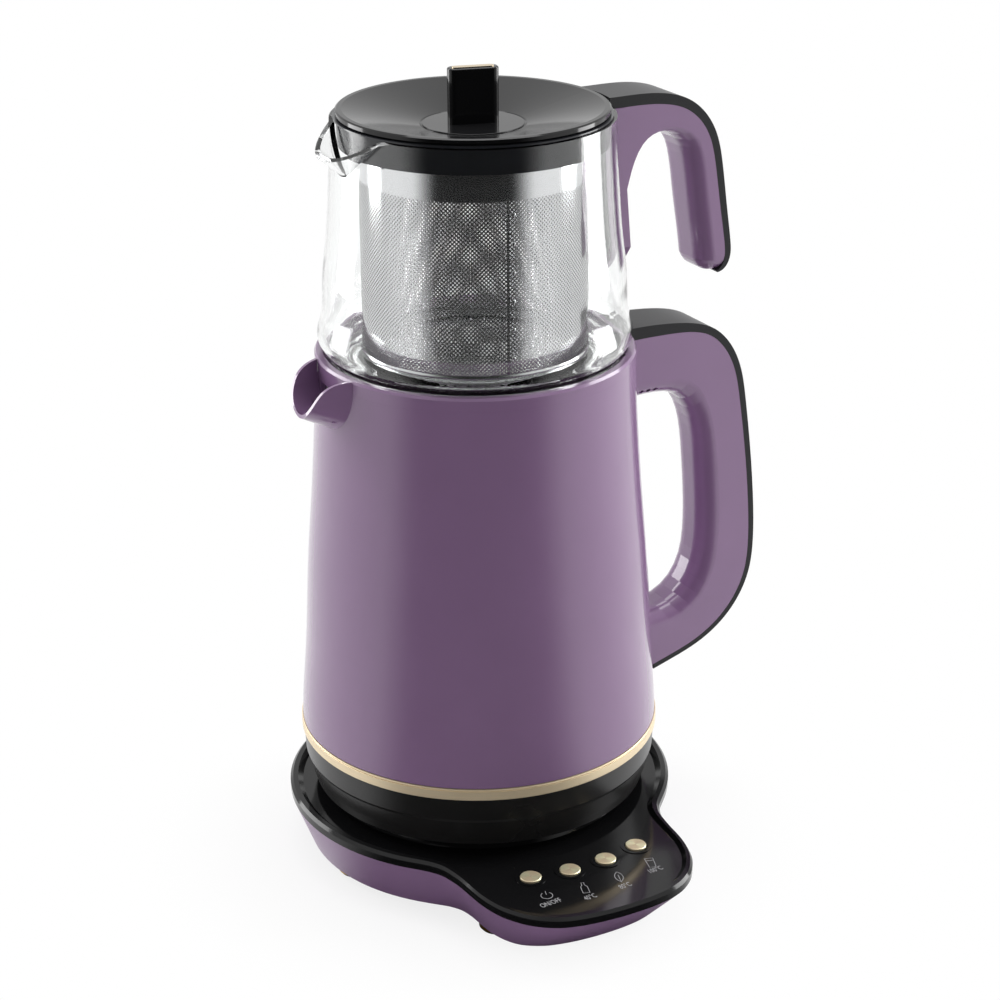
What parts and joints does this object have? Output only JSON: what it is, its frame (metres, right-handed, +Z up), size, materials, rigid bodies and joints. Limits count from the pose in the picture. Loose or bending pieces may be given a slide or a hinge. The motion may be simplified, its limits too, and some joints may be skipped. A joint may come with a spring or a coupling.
{
  "type": "tea maker",
  "caption": "Electric tea maker: kettle with handle and spout on a round power base with a button panel, glass teapot with strainer basket and lid on top.",
  "frame": {"origin": "on the table surface, on the kettle's vertical axis", "axes": "+Z up, +X towards the handles, -Y towards the button panel"},
  "size_m": [0.2335, 0.2295, 0.3658],
  "materials": {
    "satin_purple": "satin purple plastic",
    "gloss_purple": "gloss purple plastic",
    "gloss_black": "gloss black plastic",
    "lid_disc_black": "gloss black plastic",
    "strip_black": "satin black plastic",
    "base_ring_black": "semi gloss black plastic",
    "matte_black": "matte black plastic",
    "foot_brass": "dark brass coloured feet",
    "rubber": "soft rubber",
    "screw_steel": "zinc plated",
    "contact_brass": "bright brass",
    "board_green": "circuit board",
    "relay_blue": "moulded relay case",
    "wire_cover": "insulated wire",
    "button_gold": "spun champagne gold",
    "band_gold": "brushed champagne gold",
    "inlay_gold": "champagne gold",
    "polished_steel": "polished stainless steel",
    "silicone": "grey silicone",
    "heater_aluminium": "cast aluminium",
    "element_steel": "steel tube",
    "clear_glass": "clear glass",
    "bond_layer": "cured adhesive layer",
    "collar_grey": "smoke grey plastic"
  },
  "bodies": {
    "base": {"base_lower_shell": "satin_purple", "base_top_cover": "gloss_black", "base_feet": "foot_brass", "foot_pads": "rubber", "base_screws": "screw_steel", "cord_gland": "matte_black", "base_socket": "matte_black", "socket_contacts": "contact_brass", "socket_bracket": "matte_black", "control_board": "board_green", "tactile_switches": "matte_black", "power_board": "board_green", "power_relay": "relay_blue", "terminal_block": "matte_black", "base_wires": "wire_cover", "button_bezels": "gloss_black"},
    "button_power": {"button_power_cap": "button_gold", "button_power_stem": "matte_black"},
    "button_40": {"button_40_cap": "button_gold", "button_40_stem": "matte_black"},
    "button_80": {"button_80_cap": "button_gold", "button_80_stem": "matte_black"},
    "button_100": {"button_100_cap": "button_gold", "button_100_stem": "matte_black"},
    "kettle_plug": {"plug_body": "matte_black", "plug_rings": "contact_brass"},
    "kettle": {"kettle_base_ring": "base_ring_black", "gold_band": "band_gold", "kettle_bottom_cover": "base_ring_black", "plug_carrier": "matte_black", "kettle_shell": "gloss_purple", "kettle_collar": "gloss_purple", "inner_pot": "polished_steel", "pot_rim": "polished_steel", "spout_seal": "silicone", "heater_plate": "heater_aluminium", "heating_element": "element_steel", "temperature_sensor": "element_steel", "dry_boil_switches": "matte_black", "band_seal": "silicone", "kettle_wires": "wire_cover", "kettle_handle_body": "gloss_purple", "kettle_handle_cover": "strip_black"},
    "teapot": {"glass_jug": "clear_glass", "teapot_bond_pad": "bond_layer", "teapot_handle_body": "gloss_purple", "teapot_handle_cover": "strip_black"},
    "basket": {"basket_collar": "collar_grey", "basket_tube": "polished_steel", "basket_floor": "polished_steel"},
    "lid": {"lid_shell": "gloss_black", "lid_disc": "lid_disc_black", "lid_knob": "gloss_black", "knob_inlay": "inlay_gold", "lid_seal": "silicone"}
  },
  "joints": [
    {"name": "press_power", "type": "slide", "parent": "base", "child": "button_power", "axis": [0, 0, -1], "range_m": [0, 0.0015], "stiffness_N_per_m": 400, "springref_m": -0.001},
    {"name": "press_40", "type": "slide", "parent": "base", "child": "button_40", "axis": [0, 0, -1], "range_m": [0, 0.0015], "stiffness_N_per_m": 400, "springref_m": -0.001},
    {"name": "press_80", "type": "slide", "parent": "base", "child": "button_80", "axis": [0, 0, -1], "range_m": [0, 0.0015], "stiffness_N_per_m": 400, "springref_m": -0.001},
    {"name": "press_100", "type": "slide", "parent": "base", "child": "button_100", "axis": [0, 0, -1], "range_m": [0, 0.0015], "stiffness_N_per_m": 400, "springref_m": -0.001},
    {"name": "kettle_lift", "type": "slide", "parent": "base", "child": "kettle_plug", "axis": [0, 0, 1], "range_m": [0, 0.08]},
    {"name": "kettle_turn", "type": "hinge", "parent": "kettle_plug", "child": "kettle", "pos_m": [0, 0, 0.04], "axis": [0, 0, 1], "continuous": true},
    {"name": "teapot_lift", "type": "slide", "parent": "kettle", "child": "teapot", "axis": [0, 0, 1], "range_m": [0, 0.08]},
    {"name": "basket_lift", "type": "slide", "parent": "teapot", "child": "basket", "axis": [0, 0, 1], "range_m": [0, 0.13]},
    {"name": "lid_lift", "type": "slide", "parent": "basket", "child": "lid", "axis": [0, 0, 1], "range_m": [0, 0.06]}
  ]
}
